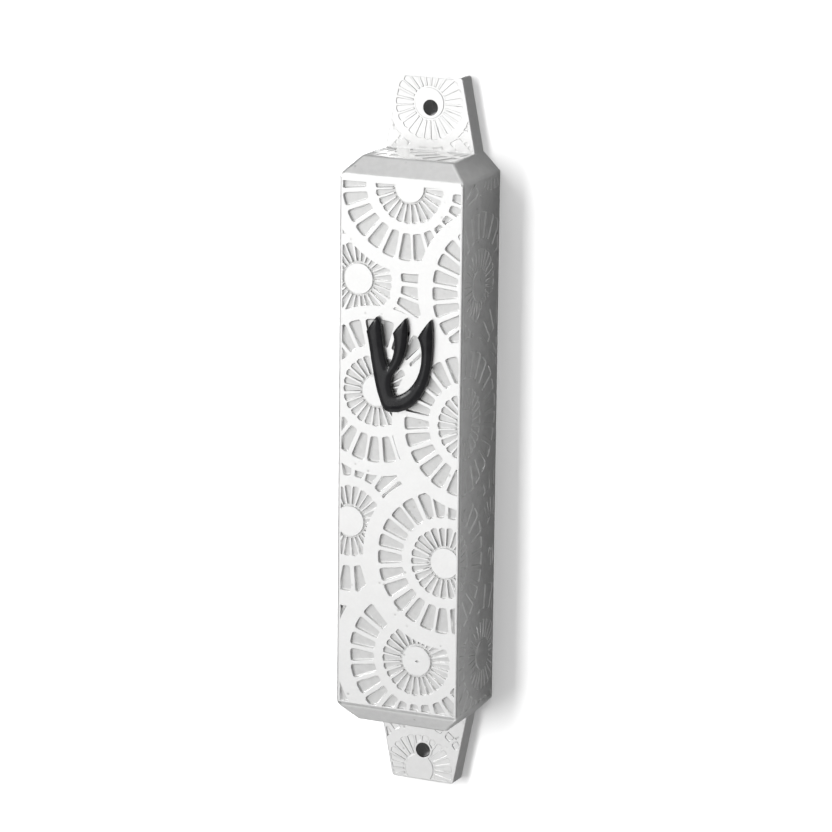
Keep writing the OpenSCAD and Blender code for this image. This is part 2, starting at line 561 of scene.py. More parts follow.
# %% Outlines of one wheel
def circle(r, points):
    return [(r * math.cos(math.tau * i / points), r * math.sin(math.tau * i / points)) for i in range(points)]


def bend(points, angle):
    """Points given as (radius, sideways) are bent round the wheel to one angle."""
    return [(r * math.cos(angle + s / r), r * math.sin(angle + s / r)) for r, s in points]


def rounded_corner(corner, before, after, r, steps=4):
    """Points of a quadratic curve that cuts a corner, r away from it on both sides."""
    corner = Vector(corner)
    first = corner + (Vector(before) - corner).normalized() * r
    last = corner + (Vector(after) - corner).normalized() * r
    points = []
    for i in range(steps + 1):
        t = i / steps
        points.append((1 - t) ** 2 * first + 2 * t * (1 - t) * corner + t * t * last)
    return [tuple(p) for p in points]


def narrow_pocket(angle):
    """A wedge between two ribs, open to the trench and with a blunt, rounded outer end."""
    end = narrow_out + wander.uniform(-0.12, 0.06)
    start = trench_r - 0.1
    shoulders = end - narrow_blunt
    half = end * pitch / 2 - narrow_rib + wander.uniform(-0.04, 0.03)
    start_half = trench_r * pitch / 2 - narrow_rib * 0.8
    lean = wander.uniform(-0.04, 0.04)
    corners = [(start, -start_half), (shoulders, lean - half), (shoulders, lean + half), (start, start_half)]
    outline = [corners[0], *rounded_corner(corners[1], corners[0], corners[2], narrow_corner), (end, lean)]
    outline += [*rounded_corner(corners[2], corners[1], corners[3], narrow_corner), corners[3]]
    return bend(outline, angle)


def wide_pocket(angle):
    """A panel between two spokes, with rounded corners and curved ends."""
    inner = wide_in + wander.uniform(-0.07, 0.07)
    outer = wide_out + wander.uniform(-0.12, 0.08)
    rib = [wide_rib + wander.uniform(-0.06, 0.06) for _ in range(2)]
    corners = [
        (inner, -inner * pitch / 2 + rib[0]),
        (outer, -outer * pitch / 2 + rib[0]),
        (outer, outer * pitch / 2 - rib[1]),
        (inner, inner * pitch / 2 - rib[1]),
    ]
    outline = []
    for i, corner in enumerate(corners):
        r = wide_corner_out if corner[0] > inner else wide_corner_in
        outline += rounded_corner(corner, corners[i - 1], corners[(i + 1) % 4], r)
        if i == 1:
            outline.append((outer, 0))
    return bend(outline, angle)


def wheel_outlines(phase, rim=rim_r):
    """Every outline of a wheel about its own centre, each with the name of its part."""
    outlines = [("rim", circle(rim, 120)), ("trench", circle(trench_r, 50))]
    outlines.append(("hub", circle(hub_r, 48)))
    for i in range(pockets_per_turn):
        angle = phase + pitch * i + wander.uniform(-0.012, 0.012)
        outlines.append(("narrow", narrow_pocket(angle)))
        angle = phase + pitch * i + wander.uniform(-0.01, 0.01)
        outlines.append(("wide", wide_pocket(angle)))
    return outlines


# %% [markdown]
# ## Carving a flat panel
#
# A flat face of the casting is replaced by triangles that follow every outline of the wheels on it.
# Blender's constrained Delaunay triangulation does that: it takes points, lines and outlines, and says for
# each triangle which outlines it lies in. From that the script knows what lies on top there: land, pocket
# or open ground. Each kind of region is then inset in small steps and lowered a little at each, which gives
# the soft lip, steep wall and rounded floor edge of a cast pocket. Boolean cuts would give the same pockets,
# but a thousand of them would be slow and would leave sharp lips.


# %% Cut outlines off at a window
def side_of(point, start, stop):
    """More than 0 where a point lies to the left of the way from start to stop."""
    return (stop[0] - start[0]) * (point[1] - start[1]) - (stop[1] - start[1]) * (point[0] - start[0])


def clip(outline, window):
    """The part of an outline that lies in a window, cut along one of its sides at a time."""
    for start, stop in zip(window, window[1:] + window[:1]):
        kept = []
        for a, b in zip(outline, outline[1:] + outline[:1]):
            a_side, b_side = side_of(a, start, stop), side_of(b, start, stop)
            if a_side >= 0:
                kept.append(a)
            if (a_side >= 0) != (b_side >= 0):
                t = a_side / (a_side - b_side)
                kept.append((a[0] + t * (b[0] - a[0]), a[1] + t * (b[1] - a[1])))
        outline = kept
        if len(outline) < 3:
            return []
    return outline


def oblong(low, high):
    """The corners of an upright window, counter-clockwise."""
    return [(low[0], low[1]), (high[0], low[1]), (high[0], high[1]), (low[0], high[1])]


def pattern(wheels, window):
    """The outlines of the wheels that show in a window, each as (part, wheel number, points)."""
    drawn = [("window", -1, window)]
    for number, (centre, phase, rim) in enumerate(wheels):
        covers = wheels[number + 1 :]
        for part, outline in wheel_outlines(phase, rim):
            outline = [(centre[0] + x, centre[1] + y) for x, y in outline]
            hidden = any(
                all(math.dist(point, cover[0]) < cover[2] for point in outline) for cover in covers
            )
            outline = [] if hidden else clip(outline, window)
            if outline:
                drawn.append((part, number, outline))
    return drawn


# %% Lay triangles along the outlines
def inside_rim(point, segments):
    """Whether a line from a point towards +X crosses the rim an odd number of times."""
    crossings = 0
    for a, b in segments:
        if (a[1] > point[1]) != (b[1] > point[1]):
            t = (point[1] - a[1]) / (b[1] - a[1])
            crossings += a[0] + t * (b[0] - a[0]) > point[0]
    return crossings % 2 == 1


def split_rim(rim_edges, edges, edge_origins, flat, verts, to_sheet):
    """Where an outline crosses the rim, the rim's own edge gets a point there too, so no gap opens."""
    crossings = {}
    for pair, origins in zip(edges, edge_origins):
        for origin in origins:
            if origin < len(rim_edges):
                crossings.setdefault(origin, set()).update(i for i in pair if verts[i] is None)
    for origin, new in crossings.items():
        edge = rim_edges[origin]
        start, end = edge.verts
        a, b = Vector(to_sheet(start.co)), Vector(to_sheet(end.co))
        whole = (b - a).length
        done = 0
        for i in sorted(new, key=lambda i: (flat[i] - a).length):
            share = (flat[i] - a).length / whole
            edge, verts[i] = bmesh.utils.edge_split(edge, start, (share - done) / (1 - done))
            edge = next(e for e in verts[i].link_edges if e.other_vert(verts[i]) is end)
            start, done = verts[i], share


def lay_triangles(bm, rim_edges, to_sheet, to_space, outward, outlines, dots=()):
    """Fills the area inside rim edges. Gives each new face with the numbers of the outlines it lies in."""
    rim = list({vert for edge in rim_edges for vert in edge.verts})
    number = {vert: i for i, vert in enumerate(rim)}
    points = [Vector(to_sheet(vert.co)) for vert in rim]
    lines = [(number[edge.verts[0]], number[edge.verts[1]]) for edge in rim_edges]
    loops = []
    for outline in outlines:
        loops.append(list(range(len(points), len(points) + len(outline))))
        points += [Vector(point) for point in outline]
    points += [Vector(point) for point in dots]
    segments = [(points[a], points[b]) for a, b in lines]
    whole_area, nearness = 0, 0.00001
    flat, edges, triangles, origins, edge_origins, inside = delaunay_2d_cdt(
        points, lines, loops, whole_area, nearness, True
    )
    verts = [next((rim[i] for i in sources if i < len(rim)), None) for sources in origins]
    split_rim(rim_edges, edges, edge_origins, flat, verts, to_sheet)
    for i, point in enumerate(flat):
        if verts[i] is None:
            verts[i] = bm.verts.new(to_space(point))
    made = []
    for triangle, owners in zip(triangles, inside):
        middle = sum((flat[i] for i in triangle), Vector((0, 0))) / 3
        if not inside_rim(middle, segments):
            continue
        face = bm.faces.new([verts[i] for i in triangle])
        face.normal_update()
        if face.normal.dot(outward) < 0:
            face.normal_flip()
        made.append((face, owners))
    loose = [vert for vert in verts if not vert.link_faces]
    bmesh.ops.delete(bm, geom=loose, context="VERTS")
    return made


def part_on_top(owners, drawn):
    """What shows where these outlines overlap: land, ground, narrow or wide."""
    found = [(drawn[i][1], drawn[i][0]) for i in owners]
    if (-1, "window") not in found:
        return "land"
    top = max(number for number, _ in found)
    if top < 0:
        return "ground"
    parts = {part for number, part in found if number == top}
    if "rim" not in parts:
        return "land"
    if "collar" in {part for _, part in found}:
        return "land"
    if "hub" in parts:
        return "narrow" if "dot" in parts else "land"
    if parts & {"trench", "narrow"}:
        return "narrow"
    return "wide" if "wide" in parts else "land"


# %% Sink the regions
def split_regions(faces):
    """Groups of faces that touch along edges."""
    left = set(faces)
    groups = []
    while left:
        group = [left.pop()]
        for face in group:
            for edge in face.edges:
                for other in edge.link_faces:
                    if other in left:
                        left.remove(other)
                        group.append(other)
        groups.append(group)
    return groups


def region_room(group):
    """Roughly the half width of a region: twice its area over the length of its edge."""
    inside = set(group)
    edge_length = sum(
        edge.calc_length()
        for face in group
        for edge in face.edges
        if sum(other in inside for other in edge.link_faces) == 1
    )
    return 2 * sum(face.calc_area() for face in group) / edge_length


def sink(bm, faces, steps, outward):
    """Insets regions in steps of (inwards, down), and shades the new walls smooth."""
    for inwards, down in steps:
        ring = bmesh.ops.inset_region(
            bm,
            faces=faces,
            thickness=inwards,
            use_boundary=True,
            use_even_offset=False,
        )
        points = list({vert for face in faces for vert in face.verts})
        bmesh.ops.translate(bm, vec=-down * outward, verts=points)
        for face in ring["faces"]:
            face.smooth = True


narrow_steps = [(0.02, 0.02), (0.03, 0.17), (0.03, 0.12), (0.04, 0.03)]
wide_steps = [(0.03, 0.02), (0.03, 0.05), (0.05, 0.26), (0.06, 0.09), (0.08, 0.03)]
narrow_room = 0.18
wide_room = 0.34
shares = (1.0, 0.7, 0.45, 0.25)
full_depth = 0.45


def sink_by_room(bm, groups, steps, needed, strength, outward):
    """Sinks roomy regions fully and slim ones less, so that no wall folds over itself."""
    for share, above in zip(shares, (math.inf, *shares)):
        faces = [
            face
            for group, room in groups
            for face in group
            if share * needed <= room < above * needed
        ]
        if faces:
            sink(bm, faces, [(inwards * share, down * share * strength) for inwards, down in steps], outward)


def carve(bm, faces, to_sheet, to_space, drawn, strength=1.0):
    """Replaces flat faces of the casting by the relief."""
    outward = faces[0].normal.copy()
    level = faces[0].verts[0].co.dot(outward)
    inside = set(faces)
    edges = {edge for face in faces for edge in face.edges}
    rim_edges = [edge for edge in edges if sum(face in inside for face in edge.link_faces) == 1]
    rim_edges.sort(key=lambda edge: tuple(edge.verts[0].co) + tuple(edge.verts[1].co))
    bmesh.ops.delete(bm, geom=faces, context="FACES")
    outlines = [outline for _, _, outline in drawn]
    made = lay_triangles(bm, rim_edges, to_sheet, to_space, outward, outlines)
    parts = {"land": [], "ground": [], "narrow": [], "wide": []}
    for face, owners in made:
        parts[part_on_top(owners, drawn)].append(face)

    def with_room(faces):
        return [(group, region_room(group)) for group in split_regions(faces)]

    pockets = with_room(parts["narrow"])
    panels = with_room(parts["wide"]) + with_room(parts["ground"])
    sink_by_room(bm, pockets, narrow_steps, narrow_room, strength, outward)
    sink_by_room(bm, panels, wide_steps, wide_room, strength, outward)
    for vert in {vert for face, _ in made for vert in face.verts}:
        vert[carved_layer] = min((level - vert.co.dot(outward)) / full_depth, 1)
    return len(made)


# %% [markdown]
# ## Where the wheels lie
#
# The wheels are listed from the lowest to the topmost, as (centre on the sheet, turn of the first pocket,
# radius of the rim). A turn is in radians and less than one pocket's pitch, because a wheel looks the same
# after each pitch. Wheels near a front edge run on round it, so they are in the list of the side as well.
# Each ear has a wheel of its own round its screw hole.

# %% Wheel layouts
upper_left = ((-7.5, 27.8), 0.11, rim_r)
upper_right = ((17.6, 27.2), 0.18, 14.6)
middle_right = ((12.9, 5.0), 0.15, rim_r)
lower_left = ((-8.8, -13.1), 0.12, 14.6)
lower_right = ((8.4, -18.2), 0.16, 14.7)
dimpled = ((3.5, -35.5), 0.16, 14.9)
front_wheels = [
    upper_left,
    ((1.4, 43.6), 0.12, rim_r),
    upper_right,
    lower_left,
    dimpled,
    lower_right,
    ((-4.1, 9.4), 0.15, rim_r),
    middle_right,
]
right_wheels = [
    ((22.4, 48.0), 0.05, rim_r),
    upper_right,
    ((27.5, 12.0), 0.11, rim_r),
    ((24.5, -15.5), 0.04, rim_r),
    ((21.2, -36.1), 0.08, rim_r),
    lower_right,
    middle_right,
]
left_wheels = [
    ((-22.0, 40.0), 0.05, rim_r),
    upper_left,
    ((-24.0, 15.5), 0.02, rim_r),
    ((-25.5, -33.0), 0.12, rim_r),
    ((-14.5, -41.0), 0.03, rim_r),
    lower_left,
    ((-21.0, -9.5), 0.06, rim_r),
]
upper_ear_wheels = [
    ((-9.0, 51.0), 0.1, 9.5),
    ((9.2, 51.5), 0.06, 9.5),
    ((-0.23, 55.49), 0.12, 7.3),
]
lower_ear_wheels = [
    ((-8.5, -44.0), 0.1, rim_r),
    ((9.5, -44.5), 0.06, rim_r),
    ((-0.65, -58.1), 0.12, 9.0),
]
end_wheels = [
    ((-5.0, 2.0), 0.1, rim_r),
    ((8.5, 1.0), 0.06, rim_r),
]
print("wheels on the front:", len(front_wheels), "right:", len(right_wheels), "left:", len(left_wheels))

# %% Carve the panels
carved_layer = casting.verts.layers.float.new("carved")
side_start = half_w + depth
border = 0.6
top_border = 1.0
back_border = 0.5
ear_border = 0.3
collar = 0.3
dimple = (3.65, -35.55)


def front_panel(bm):
    window = oblong((-half_w + border, -face_top + border), (half_w - border, face_top - top_border))
    drawn = pattern(front_wheels, window)
    dot = [(dimple[0] + 0.34 * x - 0.12 * y, dimple[1] + 0.12 * x + 0.18 * y) for x, y in circle(1, 12)]
    drawn.append(("dot", front_wheels.index(dimpled), dot))
    faces = faces_at(bm, 1, -depth)
    return carve(bm, faces, lambda co: (co.x, co.z), lambda p: (p[0], -depth, p[1]), drawn)


def side_panel(bm, side, wheels):
    def to_sheet(co):
        return side * (side_start + co.y), co.z

    def to_space(point):
        return side * half_w, side * point[0] - side_start, point[1]

    edges = sorted((side * (half_w + border), side * (side_start - back_border)))
    window = oblong((edges[0], -face_top + border), (edges[1], face_top - border))
    drawn = pattern(wheels, window)
    return carve(bm, faces_at(bm, 0, side * half_w), to_sheet, to_space, drawn, strength=0.32)


def end_panel(bm, side):
    window = oblong((-end_half_w + border, ear_t + ear_border), (end_half_w - border, end_depth - border))
    drawn = pattern(end_wheels, window)
    faces = [f for f in faces_at(bm, 2, side * end_z) if f.calc_center_median().y < -ear_t]
    level = side * end_z
    return carve(bm, faces, lambda co: (co.x, -co.y), lambda p: (p[0], -p[1], level), drawn, strength=0.3)


def ear_window(side):
    """An ear's own outline, a little inside its edges, counter-clockwise."""
    base, tip = end_half_w - ear_border, ear_tip_half - ear_border
    low, high = end_z + 0.25, tip_z - ear_border
    corners = [(-base, low), (base, low), (tip, high), (-tip, high)]
    if side > 0:
        return corners
    return [(x, -z) for x, z in reversed(corners)]


def ear_panel(bm, side, wheels):
    faces = [f for f in faces_at(bm, 1, -ear_t) if side * f.calc_center_median().z > end_z]
    drawn = pattern(wheels, ear_window(side))
    drawn.append(("collar", -1, [(x, y + side * hole_z) for x, y in circle(hole_r + collar, 40)]))
    return carve(bm, faces, lambda co: (co.x, co.z), lambda p: (p[0], -ear_t, p[1]), drawn, strength=0.28)


print("front:", front_panel(casting), "faces")
print("right side:", side_panel(casting, 1, right_wheels), "faces")
print("left side:", side_panel(casting, -1, left_wheels), "faces")
print("upper end:", end_panel(casting, 1), "faces")
print("lower end:", end_panel(casting, -1), "faces")
print("upper ear:", ear_panel(casting, 1, upper_ear_wheels), "faces")
print("lower ear:", ear_panel(casting, -1, lower_ear_wheels), "faces")
print("open edges:", open_edges(casting))

# %% Mark the walls of the screw holes
def is_bore(face):
    """Whether a face lies wholly on the wall of a screw hole."""
    return all(math.hypot(vert.co.x, abs(vert.co.z) - hole_z) < hole_r + 0.01 for vert in face.verts)


# The faces on the walls of the screw holes are marked here, and the material paints painted shade on them.
bore_layer = casting.faces.layers.float.new("bore")
for face in casting.faces:
    face[bore_layer] = float(is_bore(face))
print("faces in the screw holes:", sum(face[bore_layer] > 0 for face in casting.faces))

# %% Hand over the casting
hand_over("case_shell", casting, cast_metal, "case", "case_body")

# %% [markdown]
# ## The letter
#
# The letter is a thick black enamel piece bonded to the front: three headed arms that meet in a curved bowl.
# Enamel rounds itself off as it sets, so it has a round shoulder and its top is a low dome. The outline is
# taken from the frame's own letter. It is raised into a wall and inset in steps that follow an arc, up to
# where the dome goes on. The top is filled with small triangles that are lifted by their distance from the
# edge. The foot goes down to the pocket floors, so that no gap shows where the letter crosses a pocket.

# %% Letter sizes
letter_low, letter_high = node_box("shin_letter")
letter_foot = 0.45
shoulder = 0.3
shoulder_steps = 6
shoulder_turn = math.radians(60)
dome = 0.34
dome_reach = 1.15
dome_spacing = 0.24
row_spacing = dome_spacing * 0.87
foot_merge = 0.09
shoulder_merge = 0.05


# %% Letter outline and shoulder
def bare_copy(node):
    """The mesh of a node of the frame, merged and in millimetres, as a bmesh."""
    bm = bmesh.new()
    bm.from_mesh(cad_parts[node].data)
    bmesh.ops.scale(bm, vec=(1 / MM, 1 / MM, 1 / MM), verts=bm.verts)
    bmesh.ops.remove_doubles(bm, verts=bm.verts, dist=0.001)
    bmesh.ops.dissolve_limit(bm, angle_limit=0.01, verts=bm.verts, edges=bm.edges)
    return bm


letter = bare_copy("shin_letter")
top = faces_at(letter, 1, letter_low.y)[0]
bmesh.ops.delete(letter, geom=[face for face in letter.faces if face is not top], context="FACES")
straight_top = dome + shoulder * math.sin(shoulder_turn)
foot_y = -depth + letter_foot
bmesh.ops.translate(letter, vec=(0, foot_y - letter_low.y, 0), verts=letter.verts)
bmesh.ops.remove_doubles(letter, verts=letter.verts, dist=foot_merge)
grown = bmesh.ops.extrude_face_region(letter, geom=list(letter.faces), use_keep_orig=True)["geom"]
top = next(item for item in grown if isinstance(item, bmesh.types.BMFace))
bmesh.ops.translate(letter, vec=(0, letter_low.y + straight_top - foot_y, 0), verts=top.verts)
for i in range(shoulder_steps):
    start = shoulder_turn * i / shoulder_steps
    stop = shoulder_turn * (i + 1) / shoulder_steps
    bmesh.ops.inset_region(
        letter,
        faces=[top],
        thickness=shoulder * (math.cos(start) - math.cos(stop)),
        depth=shoulder * (math.sin(stop) - math.sin(start)),
        use_boundary=True,
        use_even_offset=True,
    )
    bmesh.ops.remove_doubles(letter, verts=top.verts, dist=shoulder_merge)
print("letter shoulder:", len(letter.faces), "faces")


# %% Letter dome
def edge_distance(point, segments):
    """Distance from a point to the nearest of some line segments."""
    best = math.inf
    for a, b in segments:
        run = b - a
        t = max(0, min(1, (point - a).dot(run) / max(run.length_squared, 1e-12)))
        best = min(best, (a + t * run - point).length)
    return best


def dome_dots(low, high, segments):
    """A staggered grid of points inside the outline, clear of its edge."""
    dots = []
    rows = int((high[1] - low[1]) / row_spacing)
    for row in range(rows):
        z = low[1] + row * row_spacing
        for column in range(int((high[0] - low[0]) / dome_spacing) + 1):
            point = Vector((low[0] + (column + row % 2 / 2) * dome_spacing, z))
            if inside_rim(point, segments) and edge_distance(point, segments) > dome_spacing * 0.45:
                dots.append(point)
    return dots


rim_edges = list(top.edges)
rim_segments = [tuple(Vector((v.co.x, v.co.z)) for v in edge.verts) for edge in rim_edges]
top_y = top.verts[0].co.y
bmesh.ops.delete(letter, geom=[top], context="FACES_ONLY")
dots = dome_dots((letter_low.x, letter_low.z), (letter_high.x, letter_high.z), rim_segments)
dome_faces = lay_triangles(
    letter,
    rim_edges,
    lambda co: (co.x, co.z),
    lambda point: (point[0], top_y, point[1]),
    Vector((0, -1, 0)),
    [],
    dots,
)
for vert in {vert for face, _ in dome_faces for vert in face.verts}:
    reach = min(edge_distance(Vector((vert.co.x, vert.co.z)), rim_segments) / dome_reach, 1)
    vert.co.y -= dome * (1 - (1 - reach) ** 2)
bmesh.ops.recalc_face_normals(letter, faces=letter.faces)
for face in letter.faces:
    face.smooth = True
print("letter dome:", len(dots), "points inside, open edges:", open_edges(letter))

# %% [markdown]
# ## Black enamel
#
# Poured enamel is nearly black and glossy, with a faint orange peel and a few dust specks that are a little
# duller. The same grain and speckle groups give both, at their own sizes.

# %% Black enamel
black_enamel, tree, shader, place = new_material("black_enamel")
peel = use_group(tree, grain, place, Coarse_Scale=420.0, Fine_Scale=1500.0, Fine_Share=0.25)
specks = use_group(tree, speckle, place, Scale=900.0, Size=0.12)
enamel_colour = mix_colour(tree, peel.outputs["Mottle"], (0.008, 0.008, 0.009), (0.014, 0.014, 0.015))
enamel_colour = mix_colour(tree, specks.outputs["Spots"], enamel_colour, (0.05, 0.05, 0.05))
link(tree, enamel_colour, shader.inputs["Base Color"])
link(tree, ramp(tree, specks.outputs["Spots"], 0, 1, 0.2, 0.4), shader.inputs["Roughness"])
shader.inputs["Specular IOR Level"].default_value = 0.3
add_bump(tree, shader, peel.outputs["Height"], 0.000006)
hand_over("enamel_letter", letter, black_enamel, "case", "shin_letter")

# %% [markdown]
# ## The back cover
#
# The cover is a thin moulded plate that is pushed into the rebate. Six small ribs on its inner face hold it
# by friction. The outer face is sunk a little inside a flat frame, which keeps so thin a plate stiff, and
# the inner face has the round marks that ejector pins leave. The plate and the ribs are boxes with bevelled
# edges, joined by the same Boolean helper that hollowed the casting.

# %% Back cover
cover_low, cover_high = node_box("back_cover")
cover_t = 0.8
cover_inner = cover_high.y - cover_t
rib_half_l, rib_half_w, rib_x, rib_z = 6, 0.45, 7.45, 36
pin_r, pin_depth, pin_z = 1.4, 0.06, 34
cover_frame = 1.6
cover_sink = 0.12


def cover_plate():
    bm = box_mesh((cover_low.x, cover_inner, cover_low.z), (cover_high.x, cover_high.y, cover_high.z))
    bevel(bm, [e for e in bm.edges if along(e, 1) > 0.99], 0.5, 6)
    outer = faces_at(bm, 1, cover_high.y)[0]
    bevel(bm, [*outer.edges, *faces_at(bm, 1, cover_inner)[0].edges], 0.12, 3)
    return bm


def panel_tool():
    """A shallow rounded pocket for the outer face of the cover."""
    sunk = -cover_high.y + cover_sink
    half_x, half_z = cover_high.x - cover_frame, cover_high.z - cover_frame
    return rounded_tool(half_x, half_z, sunk, corner=1.2, fillet=0.1)


def friction_rib(side, middle):
    low = (side * rib_x - rib_half_w, cover_low.y, middle - rib_half_l)
    high = (side * rib_x + rib_half_w, cover_inner + 0.2, middle + rib_half_l)
    bm = box_mesh(low, high)
    bevel(bm, [e for e in bm.edges if max(v.co.y for v in e.verts) < cover_inner], 0.18, 3)
    return bm


def pin_mark(z):
    """A short cylinder that dents the inner face where an ejector pin pushed."""
    bm = bmesh.new()
    height = 0.4
    bmesh.ops.create_cone(bm, cap_ends=True, segments=40, radius1=pin_r, radius2=pin_r, depth=height)
    bmesh.ops.rotate(bm, cent=(0, 0, 0), matrix=Matrix.Rotation(math.pi / 2, 3, "X"), verts=bm.verts)
    bmesh.ops.translate(bm, vec=(0, cover_inner + pin_depth - height / 2, z), verts=bm.verts)
    return bm


hollows = [panel_tool(), *(pin_mark(z) for z in (-pin_z, 0, pin_z))]
cover = combine(cover_plate(), hollows, "DIFFERENCE")
small_face = 3
ribs = [friction_rib(side, z) for side in (1, -1) for z in (-rib_z, 0, rib_z)]
cover = combine(cover, ribs, "UNION")
for face in cover.faces:
    face.smooth = face.calc_area() < small_face
print("cover:", len(cover.faces), "faces")

# %% [markdown]
# ## Moulded plastic
#
# The plate is a pale grey plastic with a matt, finely spark-eroded skin. A mould's skin is even, so only the
# fine share of the grain is strong, and handling leaves slightly duller patches.

# %% Cover plastic
cover_plastic, tree, shader, place = new_material("cover_plastic")
skin = use_group(tree, grain, place, Coarse_Scale=260.0, Fine_Scale=5200.0, Fine_Share=1.2)
marks = use_group(tree, speckle, place, Scale=420.0, Size=0.09)
plastic_colour = mix_colour(tree, skin.outputs["Mottle"], (0.66, 0.66, 0.65), (0.71, 0.71, 0.70))
plastic_colour = mix_colour(tree, marks.outputs["Spots"], plastic_colour, (0.45, 0.44, 0.42))
link(tree, plastic_colour, shader.inputs["Base Color"])
link(tree, ramp(tree, skin.outputs["Mottle"], 0, 1, 0.46, 0.56), shader.inputs["Roughness"])
add_bump(tree, shader, skin.outputs["Height"], 0.00001)
hand_over("cover_plate", cover, cover_plastic, "cover", "back_cover")

# %% [markdown]
# ## The rolled parchment and its sleeve
#
# A scroll is one flat sheet of parchment, rolled up. The honest way to model that is to start from a flat
# grid and roll it: each point's distance along the sheet becomes an angle and a radius on a spiral. The
# sleeve is a single turn of clear film with an overlapping edge, so the same helper rolls it. The length of
# the flat sheet is found from the finished roll: its volume over its thickness and width.


# %% Roll a sheet
roll_low, roll_high = node_box("parchment_scroll")
sleeve_low, sleeve_high = node_box("scroll_sleeve")
roll_y = (roll_low.y + roll_high.y) / 2
first_edge = 0.7
crease = 0.9


def rolled_sheet(inner_r, outer_r, turns, bottom, top, thickness, around, rows, creep=0.0, ripple=0.0):
    """A flat grid rolled into a spiral about the roll's own axis, then given its thickness."""
    bm = bmesh.new()
    bmesh.ops.create_grid(bm, x_segments=around, y_segments=rows, size=0.5)
    for vert in bm.verts:
        share, height = vert.co.x + 0.5, vert.co.y + 0.5
        angle = math.tau * turns * share + first_edge
        wave = ripple * math.sin(5 * angle + 9 * height) * (2 * height - 1) ** 4
        r = inner_r + (outer_r - inner_r) * share - abs(wave)
        z = bottom + (top - bottom) * height
        slip = creep * (0.5 + 0.5 * math.sin(2.3 * angle)) * (2 * height - 1)
        vert.co = (r * math.cos(angle), roll_y + r * math.sin(angle), z - slip)
    bmesh.ops.recalc_face_normals(bm, faces=bm.faces)
    bmesh.ops.solidify(bm, geom=bm.faces, thickness=thickness)
    bmesh.ops.recalc_face_normals(bm, faces=bm.faces)
    for face in bm.faces:
        face.smooth = True
    for edge in bm.edges:
        edge.smooth = edge.calc_face_angle(0) < crease
    return bm


clearance = 0.02
sheet_t = 0.28
sheet_turns = 3.25
sheet_spacing = 0.46
sheet_creep = 0.25
sheet_outer = roll_high.x - sheet_t - clearance
sheet_inner = sheet_outer - sheet_turns * sheet_spacing
sheet = (sheet_inner, sheet_outer, sheet_turns, roll_low.z, roll_high.z, sheet_t)
scroll = rolled_sheet(*sheet, around=180, rows=30, creep=sheet_creep)
sheet_width = roll_high.z - roll_low.z
sheet_length = scroll.calc_volume() / (sheet_t * sheet_width)
print(f"parchment: {sheet_width:.1f} by {sheet_length:.1f} mm flat")

film_t = 0.05
film_turns = 1.12
film_overlap = 0.09
film_ripple = 0.02
film_outer = sleeve_high.x - film_t - clearance
strip = (film_outer - film_overlap, film_outer, film_turns, sleeve_low.z, sleeve_high.z, film_t)
film = rolled_sheet(*strip, around=90, rows=40, ripple=film_ripple)
film_width = sleeve_high.z - sleeve_low.z
print(f"film: {film_width:.1f} by {film.calc_volume() / (film_t * film_width):.1f} mm flat")

# %% [markdown]
# ## Parchment and clear film
#
# Parchment is warm cream, blotchy at the size of a coin and finely pored like skin, and it is blank here.
# Faint lines are scored round the roll at an even spacing, which is how a scribe rules a sheet. The film is
# clear, so its material is mostly transparent, with faint scuffs that are a little less so.

# %% Parchment
parchment, tree, shader, place = new_material("parchment")
pores = use_group(tree, grain, place, Coarse_Scale=190.0, Fine_Scale=3000.0, Fine_Share=0.5)
spots = use_group(tree, speckle, place, Scale=600.0, Size=0.13)
cream = mix_colour(tree, pores.outputs["Mottle"], (0.74, 0.61, 0.42), (0.84, 0.74, 0.56))
cream = mix_colour(tree, spots.outputs["Spots"], cream, (0.58, 0.44, 0.27))
along_roll = add_node(tree, "ShaderNodeSeparateXYZ")
link(tree, place, along_roll.inputs[0])
ruling = math_node(tree, "PINGPONG", along_roll.outputs["Z"], 0.0016)
scored = ramp(tree, ruling, 0.0, 0.00012, 1.0, 0.0)
link(tree, mix_colour(tree, scored, cream, (0.66, 0.54, 0.37)), shader.inputs["Base Color"])
link(tree, ramp(tree, pores.outputs["Mottle"], 0, 1, 0.62, 0.78), shader.inputs["Roughness"])
lined = math_node(tree, "SUBTRACT", pores.outputs["Height"], scored)
add_bump(tree, shader, lined, 0.00002)
hand_over("rolled_parchment", scroll, parchment, "scroll", "parchment_scroll")

# %% Clear film
clear_film, tree, shader, place = new_material("clear_film")
scuffs = use_group(tree, grain, place, Coarse_Scale=240.0, Fine_Scale=1800.0, Fine_Share=0.3)
film_colour = mix_colour(tree, scuffs.outputs["Mottle"], (0.80, 0.84, 0.86), (0.92, 0.94, 0.95))
link(tree, film_colour, shader.inputs["Base Color"])
link(tree, ramp(tree, scuffs.outputs["Mottle"], 0, 1, 0.08, 0.16), shader.inputs["Roughness"])
link(tree, ramp(tree, scuffs.outputs["Mottle"], 0, 1, 0.16, 0.28), shader.inputs["Alpha"])
add_bump(tree, shader, scuffs.outputs["Height"], 0.00001)
hand_over("clear_sleeve", film, clear_film, "scroll", "scroll_sleeve")

# %% [markdown]
# ## The stage
#
# The case hangs on a wall, so the stage is a plain white wall just behind it and no floor. The wall is only
# there for a camera in front of it, and seen from behind it is clear, so the back of the case can be looked
# at too. The metal's sides mirror the wall beside the case as a darker grey, which keeps them darker than
# the front. That is why its material asks for the kind of ray.

